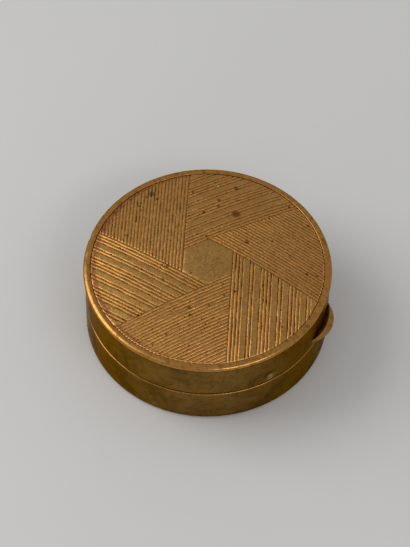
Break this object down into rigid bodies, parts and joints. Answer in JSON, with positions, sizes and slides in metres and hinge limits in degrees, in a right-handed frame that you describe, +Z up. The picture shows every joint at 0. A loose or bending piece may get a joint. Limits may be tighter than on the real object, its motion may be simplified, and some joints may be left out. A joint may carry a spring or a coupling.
{
  "type": "powder compact",
  "caption": "Round hinged gilt-brass powder box with an engine-turned lid panel, half-moon thumb tab, mirror in the lid and a powder pan with puff in the base.",
  "frame": {"origin": "centre of the flat resting face, on the axis of the round case", "axes": "+Z up through the lid, -Y towards the thumb tab, +Y towards the hinge"},
  "size_m": [0.05, 0.0519, 0.0199],
  "materials": {
    "gilt_brass": "satin gilt brass, aged and lightly scuffed",
    "engraved_brass": "engine-turned gilt brass, satin, with dirt in the lines and small dark pits",
    "inner_brass": "brighter gilt brass that the closed case has kept clean",
    "hinge_brass": "drawn brass, dull",
    "pan_tin": "stamped tinned sheet",
    "pressed_powder": "pressed face powder, matt and fine-grained",
    "puff_velour": "cotton velour",
    "puff_ribbon": "satin ribbon",
    "mirror_glass": "silvered glass",
    "mirror_card": "grey-brown card"
  },
  "bodies": {
    "base": {"base_shell": "gilt_brass", "base_collar": "inner_brass", "powder_pan": "pan_tin", "powder_cake": "pressed_powder", "pan_ring": "inner_brass", "puff_pad": "puff_velour", "puff_ribbon": "puff_ribbon", "base_hinge_leaf": "hinge_brass", "hinge_pin": "hinge_brass"},
    "lid": {"lid_shell": "gilt_brass", "lid_panel": "engraved_brass", "thumb_tab": "gilt_brass", "lid_hinge_leaf": "hinge_brass", "mirror_backing": "mirror_card", "mirror_glass": "mirror_glass", "mirror_ring": "inner_brass"}
  },
  "joints": [
    {"name": "lid_hinge", "type": "hinge", "parent": "base", "child": "lid", "pos_m": [0, 0.0243, 0.00875], "axis": [-1, 0, 0], "range_deg": [0, 110]}
  ]
}
